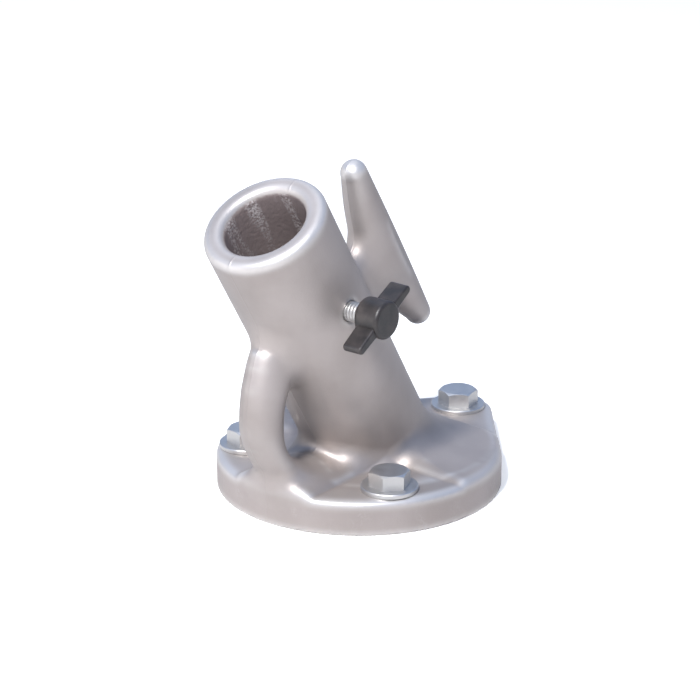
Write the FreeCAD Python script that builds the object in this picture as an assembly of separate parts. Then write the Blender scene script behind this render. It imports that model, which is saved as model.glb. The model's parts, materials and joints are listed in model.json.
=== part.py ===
"""Base of a mooring whip: a cast aluminium dock socket with a tie eye and a line cleat.

Frame: millimetres, +Z up. The origin is the centre of the flange's round end, on the
face that lies on the dock. The casting is symmetrical about the plane Y = 0. The socket
leans towards -X, the bow of the tie eye stands at -X, the cleat and the flange's nose
point to +X, and the clamp screw comes in from -Y.
"""
import FreeCAD, Part
import math
import os

from FreeCAD import Vector

# Flange: a round plate drawn out to a nose, with a low dome round the tube's foot. Its top
# falls a little towards the nose, and its thickness is the one at the origin.
flange_radius = 57.0
flange_thickness = 15.0
flange_fall = 1.25
flange_edge_round = 2.8
flange_foot_break = 0.6
nose_radius = 14.2
dome_radius = 47.0
dome_slope = 12.0

# Bolts: two beside the tie eye, set in from the rim, and one in the nose, all of one size
side_bolt_inset = 12.2
side_bolt_angle = 53.6
nose_bolt_reach = 66.3
side_seat_height = 14.2
nose_seat_height = 11.7
side_pad_end = 7.0
side_pad_edge = 19.0
nose_pad_start = 50.5
pad_end_slope = 45.0
pad_edge_slope = 60.0
tube_spare = 0.3
hole_clearance = 0.5
shank_radius = 4.76
shank_length = 12.0
shank_tip_break = 0.8
head_across_flats = 14.3
head_height = 6.0
head_corner_slope = 30.0
head_top_share = 0.97
washer_radius = 11.2
washer_bore_clearance = 0.35
washer_thickness = 1.7
washer_edge_break = 0.3
side_head_turn = 19.8
nose_head_turn = 8.8

# Socket tube
lean = 31.5
tube_foot_x = 17.3
socket_length = 143.2
tube_radius = 24.4
bore_radius = 16.25
bore_depth = 118.7
drain_radius = 5.0
rim_outer_round = 3.2
rim_inner_round = 1.8
foot_fillet = 8.0

# Bow of the tie eye: a round bar from the tube's underside down to the flange's rim.
# Each foot line lists points from the flange's rim: a step towards +X and a height.
bow_thickness = 16.8
bow_width = 17.2
bow_top_along = 37.7
bow_shoulder = 0.32
bow_reach = 11.5
bow_reach_height = 45.0
bow_outer_foot = ((-8.0, 15.2), (-2.6, 3.5), (3.5, -5.0))
bow_inner_foot = ((6.9, 15.2), (12.3, 6.5), (21.3, 1.5), (32.3, -1.5))
bow_foot_flare = 9.0
bow_flare_start = 0.6
eye_top_along = 67.7
eye_crown_height = 5.0
eye_shoulder_round = 1.6
eye_widest_drop = 4.5
bow_rings = 11
root_fillet = 3.0
bow_foot_fillet = 3.0

# Cleat: a bar along the tube with a horn at each end, carried by one stem
cleat_outer = 54.7
cleat_middle_along = 62.05
cleat_length = 89.3
horn_tip_radius = 5.3
horn_tip_turns = (25.0, 50.0, 72.0)
bar_thickness = 20.4
bar_width = 16.6
bar_fullness = 1.8
bar_steps = (-1.0, -0.76, -0.5, -0.25, 0.0, 0.25, 0.5, 0.76, 1.0)
stem_length = 27.4
stem_width = 15.2
stem_flare = 4.6
stem_flare_shares = (1.6, 0.8, 0.0, 0.8, 1.6)
stem_widening = 0.4
stem_root_depth = 4.9

# Clamp screw and its knob with two wings
screw_along = 42.3
stud_radius = 3.97
screw_clearance = 0.06
stud_tip_gap = 0.9
stud_tip_break = 0.9
knob_gap = 6.6
hub_radius = 7.4
hub_length = 11.0
hub_edge_round = 1.4
stud_in_hub = 8.5
knob_hole_spare = 0.3
wing_span = 35.0
wing_depth = 8.6
wing_root_thickness = 5.0
wing_tip_thickness = 3.4
wing_edge_round = 0.8

ring_points = 12
near = 0.02

up = Vector(0, 0, 1)
sideways = Vector(0, 1, 0)
tilt = math.radians(lean)
tube_up = Vector(-math.sin(tilt), 0, math.cos(tilt))
tube_out = Vector(math.cos(tilt), 0, math.sin(tilt))
mouth = Vector(tube_foot_x, 0, 0) + tube_up * socket_length
flange_top = Vector(math.sin(math.radians(flange_fall)), 0, math.cos(math.radians(flange_fall)))
flange_middle = Vector(0, 0, flange_thickness)
hole_radius = shank_radius + hole_clearance
side_reach = flange_radius - side_bolt_inset
side_back = side_reach * math.cos(math.radians(side_bolt_angle))
side_out = side_reach * math.sin(math.radians(side_bolt_angle))
seats = {
    "clamp_side": Vector(-side_back, -side_out, side_seat_height),
    "plain_side": Vector(-side_back, side_out, side_seat_height),
    "nose": Vector(nose_bolt_reach, 0, nose_seat_height),
}
head_turns = {"clamp_side": side_head_turn, "plain_side": side_head_turn, "nose": nose_head_turn}


def on_tube(along, out, y=0.0):
    """Point a distance down the tube from its mouth, and out from its axis."""
    return mouth - tube_up * along + tube_out * out + sideways * y


def skin(ovals):
    """Solid bar whose side is one smooth surface through ovals.

    Each oval is a centre, one half axis as a vector, and its whole width along Y. The
    surface's control points are those of a round ring, laid on each oval and then
    carried along the bar by the same smooth curve.
    """
    turns = [2 * math.pi * number / ring_points for number in range(ring_points)]
    ring = Part.BSplineCurve()
    ring.interpolate(Points=[Vector(math.cos(turn), math.sin(turn), 0) for turn in turns],
                     PeriodicFlag=True)
    crests = [centre + half for centre, half, width in ovals]
    walked = [0.0]
    for start, end in zip(crests, crests[1:]):
        walked.append(walked[-1] + (end - start).Length)
    steps = [length / walked[-1] for length in walked]
    net = []
    for pole in ring.getPoles():
        along = Part.BSplineCurve()
        along.interpolate(
            Points=[centre + half * pole.x + sideways * (pole.y * width / 2)
                    for centre, half, width in ovals],
            Parameters=steps)
        net.append(along.getPoles())
    side = Part.BSplineSurface()
    side.buildFromPolesMultsKnots(net, ring.getMultiplicities(), along.getMultiplicities(),
                                  ring.getKnots(), along.getKnots(), True, False,
                                  ring.Degree, along.Degree)
    caps = [Part.Face(Part.Wire([side.vIso(end).toShape()])) for end in (0.0, 1.0)]
    shell = Part.Shell([side.toShape()] + caps)
    shell.sewShape()
    bar = Part.Solid(shell)
    if bar.Volume < 0:
        bar.reverse()
    return bar


def edges_at(shape, test):
    """Edges whose points at a quarter, a half and three quarters all pass the test."""
    found = []
    for edge in shape.Edges:
        start, end = edge.ParameterRange
        points = [edge.valueAt(start + (end - start) * share) for share in (0.25, 0.5, 0.75)]
        if all(test(point) for point in points):
            found.append(edge)
    return found


def off_axis(point):
    """Distance of a point from the tube's axis."""
    return (point - mouth).cross(tube_up).Length


def on_wall(point):
    """Whether a point lies on the tube's outside, clear of its mouth and of the flange."""
    return abs(off_axis(point) - tube_radius) < near and point.z > flange_thickness


def flange_outline():
    """The flange's plan: a big circle and the nose's circle, joined by their tangents."""
    turn = math.acos((flange_radius - nose_radius) / nose_bolt_reach)
    left = Vector(math.cos(turn), math.sin(turn), 0)
    right = Vector(left.x, -left.y, 0)
    nose = Vector(nose_bolt_reach, 0, 0)
    back = Part.Arc(left * flange_radius, Vector(-flange_radius, 0, 0), right * flange_radius)
    front = Part.Arc(nose + right * nose_radius, nose + Vector(nose_radius, 0, 0),
                     nose + left * nose_radius)
    return Part.Wire([
        back.toShape(),
        Part.makeLine(right * flange_radius, nose + right * nose_radius),
        front.toShape(),
        Part.makeLine(nose + left * nose_radius, left * flange_radius),
    ])


def above_flange(point):
    """Height of a point over the plane of the flange's top."""
    return (point - flange_middle).dot(flange_top)


def make_flange():
    """Flange plate, its edges rounded above and just broken below, with the dome."""
    plate = Part.Face(flange_outline()).extrude(up * 2 * flange_thickness)
    reach = 2 * flange_radius
    lid = Part.makePlane(2 * reach, 2 * reach, Vector(-reach, -reach, 0)).extrude(up * reach)
    lid.rotate(Vector(), sideways, flange_fall)
    plate = plate.cut(lid.translated(flange_middle))
    top = edges_at(plate, lambda p: abs(above_flange(p)) < near)
    plate = plate.makeFillet(flange_edge_round, top)
    plate = plate.makeChamfer(flange_foot_break, edges_at(plate, lambda p: p.z < near))
    middle = Vector(tube_foot_x - math.tan(tilt) * flange_thickness, 0, flange_thickness)
    inner = tube_radius / 2
    rise = (dome_radius - inner) * math.tan(math.radians(dome_slope))
    base = middle - flange_top * above_flange(middle)
    return plate.fuse(Part.makeCone(dome_radius, inner, rise, base, flange_top))


def make_tube():
    """Solid socket tube, cut off at the dock's face."""
    tube = Part.makeCylinder(tube_radius, socket_length + tube_radius, mouth, tube_up * -1)
    reach = socket_length + tube_radius
    below = Part.makeBox(2 * reach, 2 * reach, reach, Vector(-reach, -reach, -reach))
    return tube.cut(below)


def guide(points):
    """Points at even steps along a smooth line through the given points."""
    line = Part.BSplineCurve()
    line.interpolate(points)
    return line.discretize(Number=bow_rings)


def make_bow():
    """Bow of the eye: ovals between an outer and an inner line, from tube to flange."""
    rim = Vector(-flange_radius, 0, flange_thickness)
    into_tube = (tube_out + tube_up) * (tube_radius / 2)
    top = on_tube(bow_top_along, -tube_radius)
    crown = on_tube(eye_top_along, -tube_radius)
    widest = Vector(rim.x - bow_reach, 0, bow_reach_height)
    inner = widest + Vector(bow_thickness, 0, -eye_widest_drop)
    outer_shoulder = Vector(widest.x + (top.x - widest.x) * bow_shoulder, 0,
                            (widest.z + top.z) / 2)
    inner_shoulder = (inner + crown) / 2 + Vector(-eye_shoulder_round, 0,
                                                  eye_shoulder_round + eye_widest_drop / 2)
    outer_line = guide(
        [top + into_tube, top, outer_shoulder, widest]
        + [rim + Vector(step, 0, height) for step, height in bow_outer_foot])
    inner_line = guide(
        [crown + into_tube, crown + up * eye_crown_height, inner_shoulder, inner]
        + [rim + Vector(step, 0, height) for step, height in bow_inner_foot])
    rings = []
    for number, (out, back) in enumerate(zip(outer_line, inner_line)):
        share = number / (bow_rings - 1)
        spread = max(0.0, (share - bow_flare_start) / (1 - bow_flare_start)) ** 2
        rings.append(((out + back) / 2, (out - back) / 2, bow_width + bow_foot_flare * spread))
    return skin(rings)


def make_cleat():
    """Cleat: a bar that swells towards its middle, its tips rounded, on a flared stem."""
    half_length = cleat_length / 2 - horn_tip_radius
    swell = bar_thickness / 2 - horn_tip_radius
    widen = bar_width / 2 - horn_tip_radius
    ovals = []
    for share in bar_steps:
        full = 1 - abs(share) ** bar_fullness
        ovals.append((half_length * share, horn_tip_radius + swell * full,
                      2 * (horn_tip_radius + widen * full)))
    for turn in horn_tip_turns:
        reach = half_length + horn_tip_radius * math.sin(math.radians(turn))
        half = horn_tip_radius * math.cos(math.radians(turn))
        ovals.append((reach, half, 2 * half))
        ovals.insert(0, (-reach, half, 2 * half))
    rings = []
    for place, half, width in ovals:
        out = cleat_outer - (half if abs(place) <= half_length else horn_tip_radius)
        rings.append((on_tube(cleat_middle_along + place, out), tube_out * half, width))
    bar = skin(rings)
    under = cleat_outer - bar_thickness
    heights = (tube_radius - stem_root_depth, tube_radius, (tube_radius + under) / 2, under,
               cleat_outer - bar_thickness / 2)
    rings = []
    for out, share in zip(heights, stem_flare_shares):
        half = tube_up * (stem_length / 2 + stem_flare * share)
        rings.append((on_tube(cleat_middle_along, out), half, stem_width + stem_widening * share))
    return bar.fuse(skin(rings))


def pad_cutter(seat):
    """Recess for a bolt's washer: a flat floor, open at the rim, with one or two slopes."""
    far = 2 * (flange_radius + nose_bolt_reach)
    end_run = flange_thickness / math.tan(math.radians(pad_end_slope))
    edge_run = flange_thickness / math.tan(math.radians(pad_edge_slope))
    wires = []
    for share in (0, 1):
        if seat.x > 0:
            across = (nose_pad_start - end_run * share, far)
            along = (-far, far)
        else:
            side = math.copysign(1, seat.y)
            across = (-far, end_run * share - side_pad_end)
            along = sorted((side * far, side * (side_pad_edge - edge_run * share)))
        height = seat.z + flange_thickness * share
        low, high = [[Vector(x, y, height) for x in across] for y in along]
        wires.append(Part.makePolygon(low + high[::-1] + low[:1]))
    recess = Part.makeLoft(wires, True, True)
    sheath = Part.makeCylinder(tube_radius + tube_spare, 2 * socket_length, mouth, tube_up * -1)
    return recess.cut(sheath)


def bolt_hole(seat):
    """Straight hole for a bolt, from below the flange up through its seat."""
    return Part.makeCylinder(hole_radius, 2 * flange_thickness,
                             Vector(seat.x, seat.y, -flange_thickness / 2))


def make_socket():
    """What is bored out of the tube: the whip's bore with its drain, and the screw's hole."""
    past = tube_radius
    bore = Part.makeCylinder(bore_radius, bore_depth + past, on_tube(-past, 0), tube_up * -1)
    drain = Part.makeCylinder(drain_radius, 2 * socket_length, mouth, tube_up * -1)
    hole = Part.makeCylinder(stud_radius + screw_clearance, 2 * tube_radius,
                             on_tube(screw_along, 0, -2 * tube_radius), sideways)
    return bore.fuse([drain, hole])


def make_casting():
    """The whole casting: fused forms, blended, then its pads, bore and holes cut."""
    body = make_flange().fuse(make_tube())
    foot = edges_at(body, lambda p: on_wall(p) and p.z < 2 * flange_thickness)
    body = body.makeFillet(foot_fillet, foot)
    body = body.fuse([make_bow(), make_cleat()])
    root = edges_at(body, lambda p: on_wall(p) and p.z > 2 * flange_thickness and abs(p.y) > 1)
    body = body.makeFillet(root_fillet, root)
    heel = edges_at(body, lambda p: p.x < -flange_radius / 2 and abs(p.y) < bow_width
                    and flange_thickness / 2 < p.z < 2 * flange_thickness)
    body = body.makeFillet(bow_foot_fillet, heel)
    mouth_rim = edges_at(body, lambda p: abs((p - mouth).dot(tube_up)) < near)
    body = body.makeFillet(rim_outer_round, mouth_rim)
    body = body.cut(make_socket())
    lip = edges_at(body, lambda p: abs((p - mouth).dot(tube_up)) < near)
    body = body.makeFillet(rim_inner_round, lip)
    for seat in seats.values():
        body = body.cut(pad_cutter(seat))
        body = body.cut(bolt_hole(seat))
    return body


def make_bolt(seat, turn):
    """Hex head bolt: a head with its corners turned down, and a plain shank below it."""
    base = seat + up * washer_thickness
    corner = head_across_flats / math.sqrt(3)
    turned = math.radians(turn)
    points = []
    for number in range(7):
        angle = turned + math.radians(60 * number)
        points.append(base + Vector(math.cos(angle), math.sin(angle), 0) * corner)
    head = Part.Face(Part.makePolygon(points)).extrude(up * head_height)
    slope = math.tan(math.radians(head_corner_slope))
    reach = head_across_flats / 2 * head_top_share
    cap = Part.makeCone(reach + head_height / slope, reach, head_height, base)
    head = head.common(cap)
    shank = Part.makeCylinder(shank_radius, shank_length, base, up * -1)
    tip = edges_at(shank, lambda p: p.z < base.z - shank_length + near)
    shank = shank.makeChamfer(shank_tip_break, tip)
    return head.fuse(shank)


def make_washer(seat):
    """Flat washer on its seat."""
    outer = Part.makeCylinder(washer_radius, washer_thickness, seat)
    outer = outer.makeChamfer(washer_edge_break, edges_at(outer, lambda p: p.z > seat.z + near))
    hole = Part.makeCylinder(shank_radius + washer_bore_clearance, washer_thickness, seat)
    return outer.cut(hole)


def screw_point(out):
    """Point on the clamp screw's axis, a distance out from the tube's axis."""
    return on_tube(screw_along, 0, -out)


def make_stud():
    """Clamp stud: a plain rod with both ends broken, from inside the wall to the knob."""
    start = bore_radius + stud_tip_gap
    end = tube_radius + knob_gap + stud_in_hub
    rod = Part.makeCylinder(stud_radius, end - start, screw_point(start), sideways * -1)
    ends = edges_at(rod, lambda p: abs(p.y + start) < near or abs(p.y + end) < near)
    return rod.makeChamfer(stud_tip_break, ends)


def make_knob():
    """Clamp knob: a round hub with two tapered wings, and a blind hole for the stud."""
    start = tube_radius + knob_gap
    hub = Part.makeCylinder(hub_radius, hub_length, screw_point(start), sideways * -1)
    hub = hub.makeFillet(hub_edge_round, edges_at(hub, lambda p: abs(p.y) > start - near))
    tip = wing_tip_thickness / 2
    reach = wing_span / 2 - tip
    middle = screw_point(start + (hub_length - wing_depth) / 2)
    corners = []
    for end, side in ((-1, 1), (0, 1), (1, 1), (1, -1), (0, -1), (-1, -1)):
        half = wing_root_thickness / 2 if end == 0 else tip
        corners.append(middle + tube_out * (end * reach) + tube_up * (side * half))
    left, top, right, under_right, under, under_left = corners
    outline = Part.Wire([
        Part.makeLine(left, top),
        Part.makeLine(top, right),
        Part.Arc(right, middle + tube_out * (reach + tip), under_right).toShape(),
        Part.makeLine(under_right, under),
        Part.makeLine(under, under_left),
        Part.Arc(under_left, middle - tube_out * (reach + tip), left).toShape(),
    ])
    wings = Part.Face(outline).extrude(sideways * -wing_depth)
    faces = edges_at(wings, lambda p: abs(p.y - middle.y) < near
                     or abs(p.y - middle.y + wing_depth) < near)
    wings = wings.makeFillet(wing_edge_round, faces)
    knob = hub.fuse(wings)
    hole = Part.makeCylinder(stud_radius + screw_clearance, stud_in_hub + knob_hole_spare,
                             screw_point(start), sideways * -1)
    return knob.cut(hole)


parts = {"base_casting": make_casting(), "clamp_stud": make_stud(), "clamp_knob": make_knob()}
for name, seat in seats.items():
    parts["bolt_" + name] = make_bolt(seat, head_turns[name])
    parts["washer_" + name] = make_washer(seat)

os.makedirs("parts", exist_ok=True)
for name, shape in parts.items():
    shape.exportStep("parts/" + name + ".step")
    print(name, "valid" if shape.isValid() else "broken", len(shape.Solids), "solid",
          round(shape.Volume / 1000, 2), "cm3")
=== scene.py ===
# %% [markdown]
# The whip base: a leaning socket, cast in aluminium in one piece with its round flange, the
# round bow of a tie eye and a two-horned line cleat. Three hex bolts hold it to a dock, and
# a black clamp screw with two wings comes in from the side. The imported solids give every
# place and size. Lengths below are worked out in millimetres and turned into metres last.

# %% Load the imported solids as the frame
import json
import math

import bpy
import numpy as np
from mathutils import Matrix, Vector


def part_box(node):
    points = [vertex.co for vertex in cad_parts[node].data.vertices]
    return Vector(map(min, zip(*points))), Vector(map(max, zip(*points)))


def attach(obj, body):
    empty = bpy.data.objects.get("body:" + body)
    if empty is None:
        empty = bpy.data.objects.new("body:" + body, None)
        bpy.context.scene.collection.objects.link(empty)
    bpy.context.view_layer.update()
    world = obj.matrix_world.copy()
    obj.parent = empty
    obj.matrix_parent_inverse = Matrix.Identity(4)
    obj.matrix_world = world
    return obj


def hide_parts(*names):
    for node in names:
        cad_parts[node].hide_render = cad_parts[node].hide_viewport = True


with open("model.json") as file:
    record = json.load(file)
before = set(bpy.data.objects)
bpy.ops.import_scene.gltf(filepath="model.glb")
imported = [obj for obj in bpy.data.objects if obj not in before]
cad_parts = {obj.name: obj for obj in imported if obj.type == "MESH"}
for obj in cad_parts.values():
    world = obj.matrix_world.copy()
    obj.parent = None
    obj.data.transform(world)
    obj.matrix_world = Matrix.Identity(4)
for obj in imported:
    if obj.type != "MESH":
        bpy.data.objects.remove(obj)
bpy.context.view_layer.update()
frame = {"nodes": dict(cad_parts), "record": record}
nodes = frame["nodes"]
print("nodes:", ", ".join(sorted(nodes)))

# %% [markdown]
# The camera stands where the photographer stood: a little above the casting and off to the
# clamp screw's side, a good arm's length away, through a long lens. A camera looks down its
# own -Z, so its three axes are worked out from two angles and put into one matrix. The
# distance and the two aims are in metres.

# %% The camera, at the photo's viewing angle
LENS = 137.0
SENSOR = 36.0
DISTANCE = 1.070
AZIMUTH = -51.26
ELEVATION = 19.82
AIM_RIGHT = -0.00367
AIM_UP = 0.05188
NEAREST = 0.01


def camera_axes(azimuth, elevation):
    """Right, up and back directions of a camera that looks at the origin from two angles."""
    a, e = math.radians(azimuth), math.radians(elevation)
    right = Vector((math.cos(a), math.sin(a), 0))
    back = Vector((math.sin(a) * math.cos(e), -math.cos(a) * math.cos(e), math.sin(e)))
    return right, back.cross(right), back


right, up, back = camera_axes(AZIMUTH, ELEVATION)
camera_data = bpy.data.cameras.new("camera")
camera_data.lens = LENS
camera_data.sensor_width = SENSOR
camera_data.clip_start = NEAREST
camera = bpy.data.objects.new("camera", camera_data)
bpy.context.scene.collection.objects.link(camera)
camera_turn = Matrix((right, up, back)).transposed().to_4x4()
camera_place = right * AIM_RIGHT + up * AIM_UP + back * DISTANCE
camera.matrix_world = Matrix.Translation(camera_place) @ camera_turn
bpy.context.scene.camera = camera
print("camera at", [round(value, 3) for value in camera_place])

# %% [markdown]
# Everything new stands on the imported solids' own places: the socket's bore gives the tube's
# line, and the washers give the bolts' seats. The record counts the bore from below the
# mouth's rounded rim, so the mouth lies a little higher up the same line. A vertex list in
# millimetres becomes a piece that rides on its body.

# %% Places read from the frame, in millimetres
MM = 0.001
BORE_START = 1.8


def mount(name):
    """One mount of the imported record, by name."""
    return next(item for item in frame["record"]["mounts"] if item["name"] == name)


def seat(name):
    """Centre of the underside of a washer, which is the bolt's seat on the casting."""
    low, high = (np.array(corner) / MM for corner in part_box(name))
    return np.array([(low[0] + high[0]) / 2, (low[1] + high[1]) / 2, low[2]])


def add_piece(name, points, faces, body):
    """Mesh piece from points in millimetres and faces, smooth, riding on a body."""
    mesh = bpy.data.meshes.new(name)
    mesh.from_pydata((np.asarray(points) * MM).tolist(), [], faces)
    mesh.shade_smooth()
    mesh.update()
    piece = bpy.data.objects.new(name, mesh)
    bpy.context.scene.collection.objects.link(piece)
    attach(piece, body)
    return piece


bore = mount("socket_bore")
tube_up = np.array(bore["axis"])
tube_out = np.array([tube_up[2], 0.0, -tube_up[0]])
bore_radius = bore["dims"]["r_mm"]
bore_length = bore["dims"]["length_mm"]
bore_depth = bore_length + BORE_START
mouth = np.array(bore["pos_m"]) / MM + tube_up * (bore_depth - bore_length / 2)
seats = [seat("washer_" + where) for where in ("clamp_side", "plain_side", "nose")]
print("mouth at", mouth.round(1), "seats at", [place.round(1).tolist() for place in seats])

# %% [markdown]
# The real casting came out of a mould: its parts flow into one another through wide
# fillets, and the line cleat and the bow have no flat face at all. It could be joined from
# meshes with booleans and bevels, but bevels fail where round forms meet at odd angles. A
# signed distance field has no such trouble: it is a function that tells how far a point is
# outside the metal, and joining two of them through a fillet is one formula.

# %% Ways to join two distances
SMALLEST = 1e-6


def join(a, b, radius):
    """Union through a fillet: where both distances are under the radius, a circle's arc."""
    near_a, near_b = np.maximum(radius - a, 0), np.maximum(radius - b, 0)
    return np.maximum(radius, np.minimum(a, b)) - np.hypot(near_a, near_b)


def corner(a, b, radius):
    """Common part of two forms, with the edge between them rounded to the radius."""
    deep_a, deep_b = np.maximum(radius + a, 0), np.maximum(radius + b, 0)
    return np.minimum(-radius, np.maximum(a, b)) + np.hypot(deep_a, deep_b)


def hollow(a, b, radius):
    """Form a with form b taken away, its new edge rounded to the radius."""
    return corner(a, -b, radius)


def oval(across, half_across, y, half_y):
    """Distance to an ellipse: the scaled length, times itself less one, over the scaled slope."""
    once = np.hypot(across / half_across, y / half_y)
    twice = np.hypot(across / half_across ** 2, y / half_y ** 2)
    return once * (once - 1) / np.maximum(twice, SMALLEST)


print("a fillet of 8 at a right corner fills", round(float(-join(0.0, 0.0, 8.0)), 2), "mm")

# %% [markdown]
# The flange is a big circle and a small one at the nose, drawn together by their tangents.
# Its top falls a little towards the nose, and a low dome on it leads up to the tube. A plan
# drawn as a distance takes a rounded edge with one call, which a cut-out mesh would not.

# %% The flange with its dome
FLANGE_RADIUS = 57.0
FLANGE_THICKNESS = 15.0
FLANGE_FALL = math.radians(1.25)
FLANGE_EDGE_ROUND = 3.4
DOME_RADIUS = 47.0
DOME_SLOPE = math.tan(math.radians(12.0))
DOME_EDGE_ROUND = 1.5
NOSE_RADIUS = 14.2


def flange_field(x, y, z):
    """In plan, the distance to the big circle, to the nose's or to their tangent, by where
    the point's foot on the tangent lies. A slanting top cuts it, and a low cone is added."""
    reach = seats[2][0]
    sine = (FLANGE_RADIUS - NOSE_RADIUS) / reach
    cosine = math.sqrt(1 - sine ** 2)
    side = np.abs(y)
    foot = cosine * x - sine * side
    tangent = cosine * side + sine * x - FLANGE_RADIUS
    plan = np.where(foot < 0, np.hypot(x, y) - FLANGE_RADIUS, tangent)
    plan = np.where(foot > cosine * reach, np.hypot(x - reach, y) - NOSE_RADIUS, plan)
    rise = (z - FLANGE_THICKNESS) * math.cos(FLANGE_FALL) + x * math.sin(FLANGE_FALL)
    plate = corner(plan, rise, FLANGE_EDGE_ROUND)
    middle = mouth[0] + tube_up[0] * (FLANGE_THICKNESS - mouth[2]) / tube_up[2]
    away = np.hypot(x - middle, y)
    cone = (rise - (DOME_RADIUS - away) * DOME_SLOPE) / math.hypot(1, DOME_SLOPE)
    dome = np.maximum(cone, away - DOME_RADIUS - DOME_EDGE_ROUND)
    return join(plate, dome, DOME_EDGE_ROUND)


print("nose bolt", seats[2][0].round(1), "mm from the flange's centre")

# %% [markdown]
# Each washer sits in a flat recess that is open at the rim. The recess of the nose has one
# sloping wall across the flange, and those of the two side bolts have a second, slightly
# steeper one along it. A recess is the space above its floor and outside its walls, so it is
# the largest of a few plane distances.

# %% The washers' recesses
SIDE_PAD_END = 7.0
SIDE_PAD_EDGE = 19.0
NOSE_PAD_START = 50.5
PAD_END_SLOPE = math.radians(45.0)
PAD_EDGE_SLOPE = math.radians(50.0)
PAD_EDGE_ROUND = 2.6


def wall(past, rise, angle):
    """Distance to a plane that leans away by the angle as it rises from a pad's floor."""
    return (past - rise / math.tan(angle)) * math.sin(angle)


def pad_field(walls, rise):
    """Largest of the walls' distances, the depth under the floor and the height over a lid."""
    return np.maximum(walls, np.maximum(-rise, rise - FLANGE_THICKNESS))


def pads_field(x, y, z):
    """Nearest recess: the side ones with two walls each, or the nose's with one."""
    rise = z - seats[0][2]
    side_walls = np.maximum(wall(x + SIDE_PAD_END, rise, PAD_END_SLOPE),
                            wall(SIDE_PAD_EDGE - np.abs(y), rise, PAD_EDGE_SLOPE))
    side = pad_field(side_walls, rise)
    rise = z - seats[2][2]
    nose = pad_field(wall(NOSE_PAD_START - x, rise, PAD_END_SLOPE), rise)
    return np.minimum(side, nose)


print("side pads at height", seats[0][2].round(1), "and the nose's at", seats[2][2].round(1))

# %% [markdown]
# The bow is a round bar that leaves the tube's underside, swings out past the rim and comes
# down on the flange, where its foot spreads. A tube swept along one curve would be as thick
# everywhere, and the real bar isn't. So its outer and its inner line are drawn as smooth
# curves through a few points each.

# %% Points and smooth lines in the middle plane
TUBE_RADIUS = 24.4
STEPS_A_SPAN = 24


def on_tube(along, out):
    """Point (x, z) a distance down the tube from its mouth and out from its axis."""
    point = mouth - tube_up * along + tube_out * out
    return point[[0, 2]]


def smooth_line(points, count):
    """Even steps along a Catmull-Rom curve: each span is a cubic through its two ends."""
    p = np.array(points, float)
    p = np.vstack([2 * p[0] - p[1], p, 2 * p[-1] - p[-2]])
    t = np.linspace(0, 1, STEPS_A_SPAN, endpoint=False)[:, None, None]
    a, b, c, d = p[:-3], p[1:-2], p[2:-1], p[3:]
    spans = b + t / 2 * (c - a + t * (2 * a - 5 * b + 4 * c - d + t * (3 * (b - c) + d - a)))
    line = np.vstack([spans.transpose(1, 0, 2).reshape(-1, 2), p[-2]])
    walked = np.append(0, np.cumsum(np.linalg.norm(np.diff(line, axis=0), axis=1)))
    steps = np.linspace(0, walked[-1], count)
    return np.column_stack([np.interp(steps, walked, line[:, 0]),
                            np.interp(steps, walked, line[:, 1])])


print("the tube's underside at its mouth:", on_tube(0, -TUBE_RADIUS).round(1))

# %% The bow's outer and inner lines
BOW_WIDTH = 17.2
BOW_THICKNESS = 16.8
BOW_TOP_ALONG = 37.7
BOW_SHOULDER = 0.32
BOW_REACH = 11.5
BOW_REACH_HEIGHT = 45.0
BOW_OUTER_FOOT = ((-8.0, 15.2), (-2.6, 3.5), (3.5, -5.0))
BOW_INNER_FOOT = ((6.9, 15.2), (12.3, 6.5), (21.3, 1.5), (32.3, -1.5))
EYE_TOP_ALONG = 67.7
EYE_CROWN_HEIGHT = 5.0
EYE_SHOULDER_ROUND = 1.6
EYE_WIDEST_DROP = 4.5
BOW_STEPS = 81

rim = np.array([-FLANGE_RADIUS, FLANGE_THICKNESS])
into_tube = (tube_up + tube_out)[[0, 2]] * TUBE_RADIUS / 2
bow_top = on_tube(BOW_TOP_ALONG, -TUBE_RADIUS)
eye_crown = on_tube(EYE_TOP_ALONG, -TUBE_RADIUS)
widest = np.array([rim[0] - BOW_REACH, BOW_REACH_HEIGHT])
eye_side = widest + [BOW_THICKNESS, -EYE_WIDEST_DROP]
outer_shoulder = [widest[0] + (bow_top[0] - widest[0]) * BOW_SHOULDER,
                  (widest[1] + bow_top[1]) / 2]
inner_shoulder = (eye_side + eye_crown) / 2 + [-EYE_SHOULDER_ROUND,
                                               EYE_SHOULDER_ROUND + EYE_WIDEST_DROP / 2]
outer_points = [bow_top + into_tube, bow_top, outer_shoulder, widest]
inner_points = [eye_crown + into_tube, eye_crown + [0, EYE_CROWN_HEIGHT], inner_shoulder,
                eye_side]
bow_outer = smooth_line(outer_points + [rim + step for step in BOW_OUTER_FOOT], BOW_STEPS)
bow_inner = smooth_line(inner_points + [rim + step for step in BOW_INNER_FOOT], BOW_STEPS)
print("the bow reaches", (rim[0] - bow_outer[:, 0].min()).round(1), "mm past the rim")

# %% [markdown]
# Between the two lines the bow's section is an ellipse. A point belongs to the nearest place
# on the line halfway between them, and the ellipse there tells how far out it lies.

# %% The bow as a field
BOW_FOOT_FLARE = 9.0
BOW_FLARE_START = 0.6

bow_middle = (bow_outer + bow_inner) / 2
bow_run = np.gradient(bow_middle, axis=0)
bow_run /= np.linalg.norm(bow_run, axis=1)[:, None]
bow_half = (bow_outer - bow_inner) / 2
bow_half_across = np.abs(bow_run[:, 0] * bow_half[:, 1] - bow_run[:, 1] * bow_half[:, 0])
flare = (np.linspace(0, 1, BOW_STEPS) - BOW_FLARE_START) / (1 - BOW_FLARE_START)
bow_half_wide = (BOW_WIDTH + BOW_FOOT_FLARE * np.maximum(0, flare) ** 2) / 2


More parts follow.
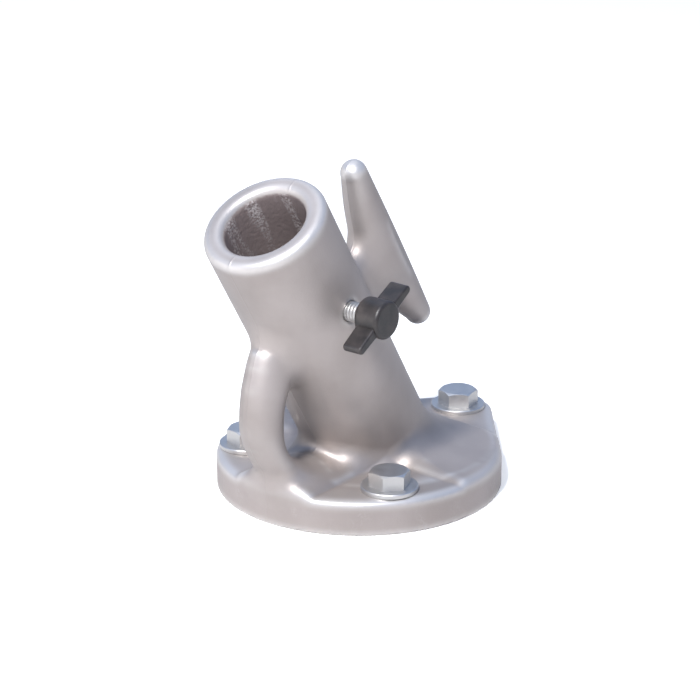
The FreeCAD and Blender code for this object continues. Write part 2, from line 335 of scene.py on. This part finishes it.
def bow_field(x, y, z):
    """Distance to an ellipse about the nearest place on the bow's middle line, whose two half
    widths are mixed from those of the stretch's ends by the share walked between them."""
    best = np.full(x.shape, np.inf)
    across = np.full(x.shape, 1.0)
    wide = np.full(x.shape, 1.0)
    across_steps, wide_steps = np.diff(bow_half_across), np.diff(bow_half_wide)
    for number in range(BOW_STEPS - 1):
        start, step = bow_middle[number], bow_middle[number + 1] - bow_middle[number]
        share = ((x - start[0]) * step[0] + (z - start[1]) * step[1]) / (step @ step)
        share = np.clip(share, 0, 1)
        away = np.hypot(x - start[0] - share * step[0], z - start[1] - share * step[1])
        closer = away < best
        best = np.where(closer, away, best)
        half_across = bow_half_across[number] + share * across_steps[number]
        half_wide = bow_half_wide[number] + share * wide_steps[number]
        across = np.where(closer, half_across, across)
        wide = np.where(closer, half_wide, wide)
    return oval(best, across, y, wide)


print("bow's middle line", len(bow_middle), "points, thinnest", bow_half_across.min().round(1))

# %% [markdown]
# The cleat is a bar that lies along the tube and swells towards its middle. Its outer side
# is straight and its tips are balls. One oval stem carries it, and the fillets at both ends
# of the stem make the two round crotches where a line is caught. One formula for the half
# thickness keeps the outer side straight, which a swept tube would bend.

# %% The line cleat
CLEAT_OUTER = 54.7
CLEAT_MIDDLE_ALONG = 62.05
CLEAT_LENGTH = 89.3
HORN_TIP_RADIUS = 5.3
BAR_THICKNESS = 20.4
BAR_WIDTH = 16.6
BAR_FULLNESS = 1.8
STEM_LENGTH = 27.4
STEM_WIDTH = 15.2
STEM_FILLET = 6.0


def cleat_field(along, out, y):
    """A bar whose half thickness falls with a power of the way to its tip, and an oval stem."""
    half_length = CLEAT_LENGTH / 2 - HORN_TIP_RADIUS
    place = along - CLEAT_MIDDLE_ALONG
    past = np.maximum(np.abs(place) - half_length, 0)
    full = 1 - np.minimum(np.abs(place) / half_length, 1) ** BAR_FULLNESS
    thick = HORN_TIP_RADIUS + (BAR_THICKNESS / 2 - HORN_TIP_RADIUS) * full
    wide = HORN_TIP_RADIUS + (BAR_WIDTH / 2 - HORN_TIP_RADIUS) * full
    bar = oval(np.hypot(out - CLEAT_OUTER + thick, past), thick, y, wide)
    stem = oval(place, STEM_LENGTH / 2, y, STEM_WIDTH / 2)
    stem = np.maximum(stem, out - CLEAT_OUTER + BAR_THICKNESS / 2)
    return join(bar, np.maximum(stem, -out), STEM_FILLET)


print("the cleat's middle is", CLEAT_MIDDLE_ALONG, "mm down the tube")

# %% [markdown]
# Now the whole casting. The recesses are cut from the flange alone, and the tube grows out of
# it through a wide fillet, so the tube's foot stays whole. The bow and the cleat grow out of
# the tube, the bow through a fillet that widens towards its foot. Then the socket, its drain,
# the screw's hole and the bolts' holes are taken away.

# %% The casting as one field
RIM_OUTER_ROUND = 3.2
RIM_INNER_ROUND = 3.2
FOOT_FILLET = 9.0
BOW_FILLET = (8.0, 5.0)
BOW_FILLET_HEIGHTS = (25.0, 60.0)
CLEAT_FILLET = 4.0
FLANGE_FOOT_BREAK = 0.6
HOLE_RADIUS = 5.26
HOLE_EDGE_ROUND = 0.3
DRAIN_RADIUS = 5.0
DRAIN_EDGE_ROUND = 0.5
SCREW_ALONG = 42.3
SCREW_HOLE_RADIUS = 4.03
SCREW_MOUTH_ROUND = 0.7


def casting_field(x, y, z):
    """How far a point is outside the metal, in millimetres: less than nothing is inside."""
    along = -((x - mouth[0]) * tube_up[0] + (z - mouth[2]) * tube_up[2])
    out = (x - mouth[0]) * tube_out[0] + (z - mouth[2]) * tube_out[2]
    away = np.hypot(out, y)
    body = hollow(flange_field(x, y, z), pads_field(x, y, z), PAD_EDGE_ROUND)
    body = join(body, away - TUBE_RADIUS, FOOT_FILLET)
    body = corner(body, -along, RIM_OUTER_ROUND)
    body = join(body, bow_field(x, y, z), np.interp(z, BOW_FILLET_HEIGHTS, BOW_FILLET))
    body = join(body, cleat_field(along, out, y), CLEAT_FILLET)
    body = corner(body, -z, FLANGE_FOOT_BREAK)
    body = hollow(body, np.maximum(away - bore_radius, along - bore_depth), RIM_INNER_ROUND)
    body = hollow(body, away - DRAIN_RADIUS, DRAIN_EDGE_ROUND)
    screw = np.maximum(np.hypot(along - SCREW_ALONG, out) - SCREW_HOLE_RADIUS, y)
    body = hollow(body, screw, SCREW_MOUTH_ROUND)
    for centre in seats:
        hole = np.hypot(x - centre[0], y - centre[1]) - HOLE_RADIUS
        body = hollow(body, np.maximum(hole, z - centre[2] - FLANGE_THICKNESS), HOLE_EDGE_ROUND)
    return body


wall_place = mouth - tube_up * SCREW_ALONG + tube_out * (bore_radius + TUBE_RADIUS) / 2
print("the tube's wall is metal, as it should be:", bool(casting_field(*wall_place) < 0))

# %% [markdown]
# A field becomes a mesh by surface nets. Space is cut into small cubes, every cube that the
# surface crosses gets one point, and every edge of the lattice that crosses it gets a quad
# between the four cubes around it. A remesh modifier works in a like way, but it starts from
# a mesh, and here there is only the formula.

# %% Points and quads of the net
CELL = 1.08
CORNERS = np.array([(i, j, k) for i in (0, 1) for j in (0, 1) for k in (0, 1)])
EDGES = [(a, b) for a in range(8) for b in range(a + 1, 8)
         if np.abs(CORNERS[a] - CORNERS[b]).sum() == 1]


def lattice_points(values, low, cell):
    """Point of every mixed cube, the mean of the crossings on its edges, and its number."""
    inside = values < 0
    size = np.array(values.shape) - 1
    blocks = [inside[i:i + size[0], j:j + size[1], k:k + size[2]] for i, j, k in CORNERS]
    count = np.sum(blocks, axis=0, dtype=np.uint8)
    cubes = np.argwhere((count > 0) & (count < 8))
    number = np.full(size, -1)
    number[tuple(cubes.T)] = np.arange(len(cubes))
    level = np.array([values[tuple((cubes + place).T)] for place in CORNERS])
    total, crossings = np.zeros((len(cubes), 3)), np.zeros((len(cubes), 1))
    for a, b in EDGES:
        crossed = ((level[a] < 0) != (level[b] < 0))[:, None]
        gap = np.where(crossed, (level[a] - level[b])[:, None], 1)
        share = level[a][:, None] / gap
        total += np.where(crossed, CORNERS[a] + share * (CORNERS[b] - CORNERS[a]), 0)
        crossings += crossed
    return low + (cubes + total / crossings) * cell, number, inside


def lattice_quads(number, inside):
    """A quad across every lattice edge that changes side, its face turned outwards."""
    quads = []
    for axis in range(3):
        u, v = (axis + 1) % 3, (axis + 2) % 3
        here = np.moveaxis(inside, (axis, u, v), (0, 1, 2))[:, 1:-1, 1:-1]
        cells = np.moveaxis(number, (axis, u, v), (0, 1, 2))
        crossed = here[:-1] != here[1:]
        four = [cells[:, 1:, 1:], cells[:, :-1, 1:], cells[:, :-1, :-1], cells[:, 1:, :-1]]
        four = np.stack([part[crossed] for part in four], axis=1)
        quads.append(np.where(here[:-1][crossed][:, None], four, four[:, ::-1]))
    return np.vstack(quads)


print("a cube has", len(EDGES), "edges")

# %% [markdown]
# The net's points lie near the surface, not on it. So they are evened out along the mesh and
# then moved onto the surface itself, down the field's slope, which leaves the mesh as smooth
# as the formulas are.

# %% Moving the points onto the surface
SLOPE_STEP = 0.05
FLATTEST = 0.05
EVENING_ROUNDS = 2
NEWTON_ROUNDS = 2


def slope(field, points):
    """Gradient of a field by differences on both sides along each axis."""
    parts = []
    for axis in range(3):
        shift = np.zeros(3)
        shift[axis] = SLOPE_STEP
        rise = field(*(points + shift).T) - field(*(points - shift).T)
        parts.append(rise / (2 * SLOPE_STEP))
    return np.stack(parts, axis=1)


def onto_surface(field, points):
    """Newton's step down the slope: a point moves by its distance over the slope's length."""
    for _ in range(NEWTON_ROUNDS):
        gradient = slope(field, points)
        length = np.maximum((gradient ** 2).sum(axis=1), FLATTEST)
        move = gradient * (field(*points.T) / length)[:, None]
        points = points - np.clip(move, -CELL / 2, CELL / 2)
    return points


def relaxed(values, quads):
    """Each point's values go halfway to their mean over its neighbours on the mesh."""
    ends = np.vstack([quads[:, [0, 1]], quads[:, [1, 2]], quads[:, [2, 3]], quads[:, [3, 0]]])
    degree = np.bincount(ends[:, 0], minlength=len(values))
    mean = np.stack([np.bincount(ends[:, 0], column[ends[:, 1]], len(values))
                     for column in values.T], axis=1) / degree[:, None]
    return (values + mean) / 2


def net(field, low, high, cell):
    """Closed quad mesh of the surface where a field is nothing, inside a box."""
    axes = [np.arange(a, b, cell) for a, b in zip(low, high)]
    x, y, z = np.meshgrid(*axes, indexing="ij")
    values = np.stack([field(x[i], y[i], z[i]) for i in range(len(axes[0]))])
    points, number, inside = lattice_points(values, np.array(low), cell)
    quads = lattice_quads(number, inside)
    for _ in range(EVENING_ROUNDS):
        points = onto_surface(field, relaxed(points, quads))
    return onto_surface(field, points), quads


print("a step moves a point by at most", CELL / 2, "mm along each axis")

# %% [markdown]
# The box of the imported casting, with some room round it, is where the net looks for the
# surface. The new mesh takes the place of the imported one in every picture.

# %% The casting's mesh
MARGIN = 3.1

low, high = (np.array(end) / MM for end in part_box("base_casting"))
points, quads = net(casting_field, low - MARGIN, high + MARGIN, CELL)
casting = add_piece("casting", points, quads.tolist(), "base")
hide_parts("base_casting")
print("casting:", len(points), "points,", 2 * len(quads), "triangles")

# %% [markdown]
# Finishes are built from nodes. A few small helpers add a node, fill its inputs and do the
# steps that come back in every material, so that each finish below reads like a recipe.

# %% Helpers for nodes
def feed(tree, node, inputs):
    """Fill a node's inputs, each with a value or with the socket that feeds it."""
    for name, value in inputs.items():
        if isinstance(value, bpy.types.NodeSocket):
            tree.links.new(value, node.inputs[name])
        else:
            node.inputs[name].default_value = value


def add_node(tree, kind, inputs=None, **settings):
    """Shader node with its settings made first and its inputs filled after them."""
    node = tree.nodes.new("ShaderNode" + kind)
    for name, value in settings.items():
        setattr(node, name, value)
    feed(tree, node, inputs or {})
    return node


def calculate(tree, kind, a, b=0.0, c=0.0):
    """Result of one Math node."""
    return add_node(tree, "Math", {0: a, 1: b, 2: c}, operation=kind).outputs[0]


def share_between(tree, value, bounds):
    """How far a value is on its way from the first bound to the second, from 0 to 1."""
    return add_node(tree, "MapRange", {"Value": value, "From Min": bounds[0],
                                       "From Max": bounds[1]}).outputs[0]


def blend(tree, share, first, second):
    """Colour that goes from the first to the second as the share goes from 0 to 1."""
    return add_node(tree, "Mix", {"Factor": share, "A": first, "B": second},
                    data_type="RGBA").outputs["Result"]


print("materials so far:", len(bpy.data.materials))

# %% Helpers for materials and groups
def new_material(name):
    """Empty material with its shader, and the tree it is built in."""
    material = bpy.data.materials.new(name)
    material.use_nodes = True
    return material, material.node_tree, material.node_tree.nodes["Principled BSDF"]


def paint(piece, material):
    """Give a piece one material in place of what it has."""
    piece.data.materials.clear()
    piece.data.materials.append(material)


def new_group(name, inputs, outputs):
    """Node group with float inputs that have a value, and outputs of a named type."""
    group = bpy.data.node_groups.new(name, "ShaderNodeTree")
    for label, value in inputs.items():
        socket = group.interface.new_socket(label, in_out="INPUT", socket_type="NodeSocketFloat")
        socket.default_value = value
    for label, kind in outputs.items():
        group.interface.new_socket(label, in_out="OUTPUT", socket_type="NodeSocket" + kind)
    return group, group.nodes.new("NodeGroupInput"), group.nodes.new("NodeGroupOutput")


print("node groups so far:", len(bpy.data.node_groups))

# %% [markdown]
# Metal that was cast or plated is never one flat grey, and neither is moulded plastic. This
# group gives broad soft blotches for colour and sheen, and a fine grain for the bump, at
# sizes set in millimetres. It is built once and placed in each material with its own sizes.

# %% Grain and blotches that the finishes share
BLOTCH_DETAIL = 4.0
GRAIN_DETAIL = 2.0
GRAIN_SIZES = {"Blotch mm": 18.0, "Grain mm": 0.7}

grain, grain_in, grain_out = new_group("metal_grain", GRAIN_SIZES,
                                       {"Blotch": "Float", "Grain": "Float"})
where = add_node(grain, "TexCoord").outputs["Object"]
for label, detail in (("Blotch", BLOTCH_DETAIL), ("Grain", GRAIN_DETAIL)):
    scale = calculate(grain, "DIVIDE", 1 / MM, grain_in.outputs[label + " mm"])
    noise = add_node(grain, "TexNoise", {"Vector": where, "Scale": scale, "Detail": detail})
    feed(grain, grain_out, {label: noise.outputs["Fac"]})


def blotch_and_grain(tree, blotch_mm, grain_mm):
    """Both outputs of the shared group, placed in a tree with sizes of its own."""
    shared = add_node(tree, "Group", {"Blotch mm": blotch_mm, "Grain mm": grain_mm},
                      node_tree=grain)
    return shared.outputs["Blotch"], shared.outputs["Grain"]


print("group", grain.name, "gives", [item.name for item in grain.interface.items_tree])

# %% [markdown]
# The casting was rubbed smooth outside and left rough in the socket. Three numbers for each
# point tell the material where. Rough is one in the bore and part of one on the flange's
# side. Recess grows where metal stands close in front of the surface; the colour is darkened
# by it as painted shade in the corners. Edge grows where the surface bends sharply outwards,
# where hands and lines keep it bright. All three come from the same field as the shape, so
# they need no painting by hand.

# %% How a field bends, and how numbers reach a material
BEND_STEP = 1.2


def write_attribute(piece, name, values):
    """One number for each point of a piece, for its material to read."""
    attribute = piece.data.attributes.new(name, "FLOAT", "POINT")
    attribute.data.foreach_set("value", np.asarray(values, np.float32))


def bend(field, points):
    """How sharply a surface bends: its distance's second differences, added up for 3 axes."""
    total = -6 * field(*points.T)
    for axis in range(3):
        shift = np.zeros(3)
        shift[axis] = BEND_STEP
        total += field(*(points + shift).T) + field(*(points - shift).T)
    return total / BEND_STEP ** 2


print("sharpest bend of the casting:", bend(casting_field, points).max().round(2))

# %% What each point of the casting knows of its place
RECESS_REACH = 5.0
BEND_STARTS = 0.13
BEND_FULL = 0.40
EDGE_ROUNDS = 4
SKIN_START = 1.5
SKIN_REACH = 1.2
SKIN_FADE = 1.0
SIDE_ROUGHNESS = 0.45
SIDE_TOP_GAP = 2.0
SIDE_FADE = 3.0
SIDE_STEEPNESS = 2.0

outward = slope(casting_field, points)
outward /= np.linalg.norm(outward, axis=1)[:, None]
room = casting_field(*(points + outward * RECESS_REACH).T) / RECESS_REACH
along = -((points - mouth) @ tube_up)
away = np.hypot((points - mouth) @ tube_out, points[:, 1])
in_bore = (np.clip((bore_radius + SKIN_REACH - away) / SKIN_FADE, 0, 1)
           * np.clip((along - SKIN_START) / SKIN_FADE, 0, 1))
on_side = (np.clip((FLANGE_THICKNESS - SIDE_TOP_GAP - points[:, 2]) / SIDE_FADE, 0, 1)
           * np.clip(1 - SIDE_STEEPNESS * np.abs(outward[:, 2]), 0, 1))
edge = (bend(casting_field, points) - BEND_STARTS) / (BEND_FULL - BEND_STARTS)
edge = np.clip(edge, 0, 1)[:, None]
for _ in range(EDGE_ROUNDS):
    edge = relaxed(edge, quads)
write_attribute(casting, "edge", edge[:, 0])
# Painted shade: recess, the lack of room in front of each point, darkens the colour in corners.
write_attribute(casting, "recess", np.clip(1 - room, 0, 1))
write_attribute(casting, "rough", np.maximum(in_bore, SIDE_ROUGHNESS * on_side))
print("points in the bore:", int((in_bore > 0.5).sum()))

# %% [markdown]
# Cast aluminium: a warm light grey metal. Its colour wanders between a clean and a duller
# tone, goes darker in the corners as painted shade and lightens where it is rubbed. Each step
# blends one more colour over the last, by one of the numbers above.

# %% Cast aluminium: the colour outside
ALUMINIUM = (0.40, 0.355, 0.335, 1.0)
ALUMINIUM_DULL = (0.33, 0.29, 0.27, 1.0)
POLISHED = (0.80, 0.79, 0.78, 1.0)
PAINTED_CORNER_SHADE = (0.17, 0.14, 0.13, 1.0)
CLEAN_BLOTCHES = (0.35, 0.65)
CORNER_SHADE_POWER = 2.0
CORNER_SHADE_SHARE = 0.6
POLISH_SHARE = 0.5
ALUMINIUM_BLOTCH_MM = 30.0
ALUMINIUM_GRAIN_MM = 0.9

aluminium, tree, shader = new_material("cast_aluminium")
blotch, fine = blotch_and_grain(tree, ALUMINIUM_BLOTCH_MM, ALUMINIUM_GRAIN_MM)
rough = add_node(tree, "Attribute", attribute_name="rough").outputs["Fac"]
recess = add_node(tree, "Attribute", attribute_name="recess").outputs["Fac"]
edge = add_node(tree, "Attribute", attribute_name="edge").outputs["Fac"]
tone = blend(tree, share_between(tree, blotch, CLEAN_BLOTCHES), ALUMINIUM_DULL, ALUMINIUM)
# Painted shade: the colour goes darker towards a dark brown where the recess number is high.
deep_corners = calculate(tree, "POWER", recess, CORNER_SHADE_POWER)
tone = blend(tree, calculate(tree, "MULTIPLY", deep_corners, CORNER_SHADE_SHARE), tone, PAINTED_CORNER_SHADE)
tone = blend(tree, calculate(tree, "MULTIPLY", edge, POLISH_SHARE), tone, POLISHED)
print("outside colour of", aluminium.name, "made in", len(tree.nodes), "nodes")

# %% [markdown]
# Inside the socket the metal is dark and brownish, with bright streaks that run down it, as
# a pole pushed in and out may leave. A noise drawn out along the bore gives the streaks, and
# the fine grain breaks them into sparkling specks. A Mapping node of type Texture turns
# the pattern to the bore's lean and stretches it.

# %% Cast aluminium: the bore's skin and its streaks
BORE_SKIN = (0.26, 0.21, 0.205, 1.0)
SCRATCHED = (0.62, 0.57, 0.57, 1.0)
SCRATCH_SCALE = 150.0
SCRATCH_DETAIL = 2.0
SCRATCH_STRETCH = 6.0
SCRATCH_PARTS = (0.54, 0.70)
SPARKLE_PARTS = (0.42, 0.62)
SKIN_PARTS = (0.4, 1.0)
bore_lean = math.atan2(-tube_up[0], tube_up[2])

place = add_node(tree, "TexCoord").outputs["Object"]
along_bore = add_node(tree, "Mapping", {"Vector": place, "Rotation": (0, -bore_lean, 0),
                                        "Scale": (1, 1, SCRATCH_STRETCH)},
                      vector_type="TEXTURE").outputs[0]
streaks = add_node(tree, "TexNoise", {"Vector": along_bore, "Scale": SCRATCH_SCALE,
                                      "Detail": SCRATCH_DETAIL}).outputs["Fac"]
scratches = calculate(tree, "MULTIPLY", share_between(tree, streaks, SCRATCH_PARTS),
                      share_between(tree, fine, SPARKLE_PARTS))
skin_share = share_between(tree, rough, SKIN_PARTS)
tone = blend(tree, skin_share, tone, blend(tree, scratches, BORE_SKIN, SCRATCHED))
print("the bore leans", round(math.degrees(bore_lean), 1), "degrees")

# %% [markdown]
# The sheen wanders with the same blotches. Rubbed edges are a little glossier, rough places
# duller. A metal only mirrors what stands round it, and this one is partly covered by oxide,
# which scatters light as paint does, so Metallic is well under one, and lower in the bore.

# %% Cast aluminium: how rough and how metallic
SHEEN = 0.42
SHEEN_BLOTCHES = 0.2
SHEEN_EDGES = -0.1
SHEEN_ROUGH = 0.2
METAL = 0.62
METAL_SKIN = -0.4

gloss = calculate(tree, "MULTIPLY_ADD", blotch, SHEEN_BLOTCHES, SHEEN)
gloss = calculate(tree, "MULTIPLY_ADD", edge, SHEEN_EDGES, gloss)
gloss = calculate(tree, "MULTIPLY_ADD", rough, SHEEN_ROUGH, gloss)
metal = calculate(tree, "MULTIPLY_ADD", skin_share, METAL_SKIN, METAL)
print("the outside is", METAL, "metal and the bore", round(METAL + METAL_SKIN, 2))

# %% [markdown]
# Three bumps lie over one another: a thin raised line round the middle plane, where the
# mould's two halves met, coarse lumps where the skin is rough, and a fine grain everywhere.
# Bumps change only how light falls, which is enough for marks this low. Their heights are
# in metres.

# %% Cast aluminium: the bumps
SEAM_HALF_WIDTH = 0.0003
SEAM_HEIGHT = 0.0001
LUMP_SCALE = 520.0
LUMP_DETAIL = 3.0
LUMP_HEIGHT = 0.0002
GRAIN_HEIGHT = 0.00006
GRAIN_STRENGTH = 0.8

split = add_node(tree, "SeparateXYZ", {"Vector": place})
off_seam = calculate(tree, "ABSOLUTE", split.outputs["Y"])
seam = add_node(tree, "MapRange", {"Value": off_seam, "From Min": 0.0,
                                   "From Max": 2 * SEAM_HALF_WIDTH, "To Min": 1.0,
                                   "To Max": 0.0}, interpolation_type="SMOOTHSTEP").outputs[0]
lumps = add_node(tree, "TexNoise", {"Vector": place, "Scale": LUMP_SCALE, "Detail": LUMP_DETAIL})
deep = calculate(tree, "MULTIPLY", lumps.outputs["Fac"], rough)
seam_bump = add_node(tree, "Bump", {"Height": seam, "Distance": SEAM_HEIGHT})
rough_bump = add_node(tree, "Bump", {"Height": deep, "Distance": LUMP_HEIGHT,
                                     "Normal": seam_bump.outputs["Normal"]})
fine_bump = add_node(tree, "Bump", {"Height": fine, "Distance": GRAIN_HEIGHT,
                                    "Strength": GRAIN_STRENGTH,
                                    "Normal": rough_bump.outputs["Normal"]})
feed(tree, shader, {"Base Color": tone, "Roughness": gloss, "Metallic": metal,
                    "Normal": fine_bump.outputs["Normal"]})
paint(casting, aluminium)
print("painted", casting.name, "with", aluminium.name)

# %% [markdown]
# The bolts and washers are plated with zinc, which is greyer and duller than the casting.
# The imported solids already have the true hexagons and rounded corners, so they only get
# their finish.

# %% Zinc-plated steel
ZINC = (0.58, 0.565, 0.55, 1.0)
ZINC_DULL = (0.48, 0.465, 0.45, 1.0)
ZINC_BLOTCH_MM = 3.5
ZINC_GRAIN_MM = 0.35
ZINC_GRAIN_HEIGHT = 0.00002
ZINC_SHEEN = 0.36
ZINC_SHEEN_BLOTCHES = 0.2

zinc, tree, shader = new_material("zinc_plated_steel")
blotch, fine = blotch_and_grain(tree, ZINC_BLOTCH_MM, ZINC_GRAIN_MM)
tone = blend(tree, blotch, ZINC_DULL, ZINC)
bump = add_node(tree, "Bump", {"Height": fine, "Distance": ZINC_GRAIN_HEIGHT})
gloss = calculate(tree, "MULTIPLY_ADD", blotch, ZINC_SHEEN_BLOTCHES, ZINC_SHEEN)
feed(tree, shader, {"Base Color": tone, "Roughness": gloss, "Metallic": 1.0,
                    "Normal": bump.outputs["Normal"]})
zinc_nodes = [name for name in nodes if name.startswith(("bolt_", "washer_"))]
for name in zinc_nodes:
    paint(nodes[name], zinc)
print("zinc on", len(zinc_nodes), "nodes")

# %% [markdown]
# The clamp stud's thread winds round it once for every pitch. Its surface is one grid: one
# way round the stud and the other along it, with a radius that rises and falls with the
# distance along less the share of a turn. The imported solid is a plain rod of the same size.
# A Screw modifier could wind a profile too, but its ends would still have to be closed.

# %% The clamp stud with its thread
PITCH = 1.411
THREAD_DEPTH = 0.10
THREAD_FLAT = 1 / 6
ROUND_STEPS = 40
STEPS_A_PITCH = 10
END_BREAK = 0.8


def threaded_rod(radius, start, end):
    """Radius: full less the depth of a triangle wave of (place / pitch - turn), cut flat at
    its crests and roots. At both ends it falls by as much as the end comes nearer."""
    count = int((end - start) / PITCH * STEPS_A_PITCH)
    place = np.linspace(start, end, count + 1)[:, None]
    turn = np.arange(ROUND_STEPS)[None, :] / ROUND_STEPS
    wave = np.abs(((place / PITCH - turn) % 1) * 2 - 1)
    depth = np.clip((wave - THREAD_FLAT) / (1 - 2 * THREAD_FLAT), 0, 1)
    near_end = np.minimum(place - start, end - place)
    size = np.minimum(radius - THREAD_DEPTH * depth, radius - END_BREAK + near_end)
    return np.stack([size * np.cos(2 * np.pi * turn), size * np.sin(2 * np.pi * turn),
                     place + 0 * turn], axis=2)


def grid_faces(rows, columns):
    """Quads of a grid that closes on itself along its columns, and a flat face at each end."""
    number = np.arange(rows * columns).reshape(rows, columns)
    after = np.roll(number, -1, axis=1)
    quads = np.stack([number[:-1], after[:-1], after[1:], number[1:]], axis=2)
    return quads.reshape(-1, 4).tolist() + [number[0, ::-1].tolist(), number[-1].tolist()]


stud_low, stud_high = (np.array(end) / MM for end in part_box("clamp_stud"))
stud_middle = (stud_low + stud_high) / 2
rod = threaded_rod((stud_high - stud_low)[2] / 2, -stud_high[1], -stud_low[1])
rod_points = np.stack([stud_middle[0] + rod[..., 0], -rod[..., 2], stud_middle[2] + rod[..., 1]],
                      axis=2)
rings, around = rod_points.shape[:2]
stud = add_piece("threaded_stud", rod_points.reshape(-1, 3), grid_faces(rings, around),
                 "stud")
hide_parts("clamp_stud")
paint(stud, zinc)
print("stud:", rings, "rings of", around)

# %% [markdown]
# The knob is moulded in black plastic with a fine satin texture. In the photo parts of it are
# a dark warm grey, so the blotches mix two blacks and change the sheen too. Its packed
# solid has the true wings and rounded edges.

# %% Black plastic
BLACK = (0.012, 0.010, 0.010, 1.0)
DUSTY_BLACK = (0.042, 0.034, 0.032, 1.0)
DUSTY_BLOTCHES = (0.35, 0.7)
PLASTIC_BLOTCH_MM = 6.0
PLASTIC_GRAIN_MM = 0.3
PLASTIC_GRAIN_HEIGHT = 0.00003
PLASTIC_SHEEN = 0.3
PLASTIC_SHEEN_BLOTCHES = 0.25

plastic, tree, shader = new_material("black_plastic")
blotch, fine = blotch_and_grain(tree, PLASTIC_BLOTCH_MM, PLASTIC_GRAIN_MM)
tone = blend(tree, share_between(tree, blotch, DUSTY_BLOTCHES), BLACK, DUSTY_BLACK)
bump = add_node(tree, "Bump", {"Height": fine, "Distance": PLASTIC_GRAIN_HEIGHT})
gloss = calculate(tree, "MULTIPLY_ADD", blotch, PLASTIC_SHEEN_BLOTCHES, PLASTIC_SHEEN)
feed(tree, shader, {"Base Color": tone, "Roughness": gloss, "Normal": bump.outputs["Normal"]})
paint(nodes["clamp_knob"], plastic)
print("painted clamp_knob with", plastic.name)

# %% [markdown]
# In the photo the sun stands high at the upper left, on the camera's side, and the shadows
# fall away to the right. One small lamp stands for it. A wide one overhead and a low one at
# the left soften it as an open sky does.

# %% The lamps
LAMPS = {
    "key": {"towards": (-0.62, -0.20, 0.76), "size": 0.15, "power": 23.0},
    "top": {"towards": (0.30, 0.35, 0.88), "size": 1.0, "power": 2.0},
    "side": {"towards": (-0.78, 0.59, 0.16), "size": 0.6, "power": 2.5},
}
LAMP_DISTANCE = 1.2
LAMP_AIM = Vector((0, 0, 0.06))


def lamp(name, direction, size, power):
    """Square lamp that looks at the object's middle from a direction."""
    data = bpy.data.lights.new(name, "AREA")
    data.size, data.energy = size, power
    light = bpy.data.objects.new(name, data)
    light.location = LAMP_AIM + direction * LAMP_DISTANCE
    light.rotation_euler = direction.to_track_quat("Z", "Y").to_euler()
    bpy.context.scene.collection.objects.link(light)


for name, values in LAMPS.items():
    lamp(name, Vector(values["towards"]).normalized(), values["size"], values["power"])
print("lamps:", ", ".join(LAMPS))

# %% [markdown]
# The world is a soft studio sky, cool above and warm at the horizon, because polished metal
# shows mostly what it mirrors. Mirrored rays see it at full strength and light in general at
# less, which keeps the shadows, and the camera itself sees plain white.

# %% The world
SKY = (0.27, 0.42, 0.74, 1.0)
HORIZON = (1.0, 0.96, 0.93, 1.0)
SKY_HEIGHTS = (0.0, 0.34)
WORLD_STRENGTH = 0.4
WHITE = (1.0, 1.0, 1.0, 1.0)

world = bpy.data.worlds.new("studio")
world.use_nodes = True
bpy.context.scene.world = world
tree = world.node_tree
generated = add_node(tree, "TexCoord").outputs["Generated"]
height = add_node(tree, "SeparateXYZ", {"Vector": generated}).outputs["Z"]
tint = blend(tree, share_between(tree, height, SKY_HEIGHTS), HORIZON, SKY)
path = add_node(tree, "LightPath").outputs
tint = blend(tree, path["Is Camera Ray"], tint, WHITE)
seen = calculate(tree, "MAXIMUM", path["Is Camera Ray"], path["Is Glossy Ray"])
seen = calculate(tree, "MAXIMUM", seen, path["Is Transmission Ray"])
strength = add_node(tree, "MapRange", {"Value": seen, "To Min": WORLD_STRENGTH, "To Max": 1.0})
feed(tree, tree.nodes["Background"], {"Color": tint, "Strength": strength.outputs[0]})
print("world at strength", WORLD_STRENGTH)

# %% [markdown]
# The floor is plain and pale. It glows a little, but only for the camera's own rays, so the
# backdrop comes out white without lighting the metal from below.

# %% The floor
FLOOR_SIZE = 3.0
FLOOR_TONE = (0.85, 0.85, 0.85, 1.0)
FLOOR_ROUGHNESS = 0.9
FLOOR_GLOW = 0.55

half = FLOOR_SIZE / 2
floor_mesh = bpy.data.meshes.new("floor")
floor_mesh.from_pydata([(-half, -half, 0), (half, -half, 0), (half, half, 0), (-half, half, 0)],
                       [], [(0, 1, 2, 3)])
floor = bpy.data.objects.new("floor", floor_mesh)
bpy.context.scene.collection.objects.link(floor)
pale, tree, shader = new_material("pale_floor")
camera_ray = add_node(tree, "LightPath").outputs["Is Camera Ray"]
glow = calculate(tree, "MULTIPLY", camera_ray, FLOOR_GLOW)
feed(tree, shader, {"Base Color": FLOOR_TONE, "Roughness": FLOOR_ROUGHNESS,
                    "Emission Color": WHITE, "Emission Strength": glow})
paint(floor, pale)
print("floor", FLOOR_SIZE, "m")

# %% [markdown]
# Last, the colour view is set to Standard.

# %% The colour view
bpy.context.scene.view_settings.view_transform = "Standard"
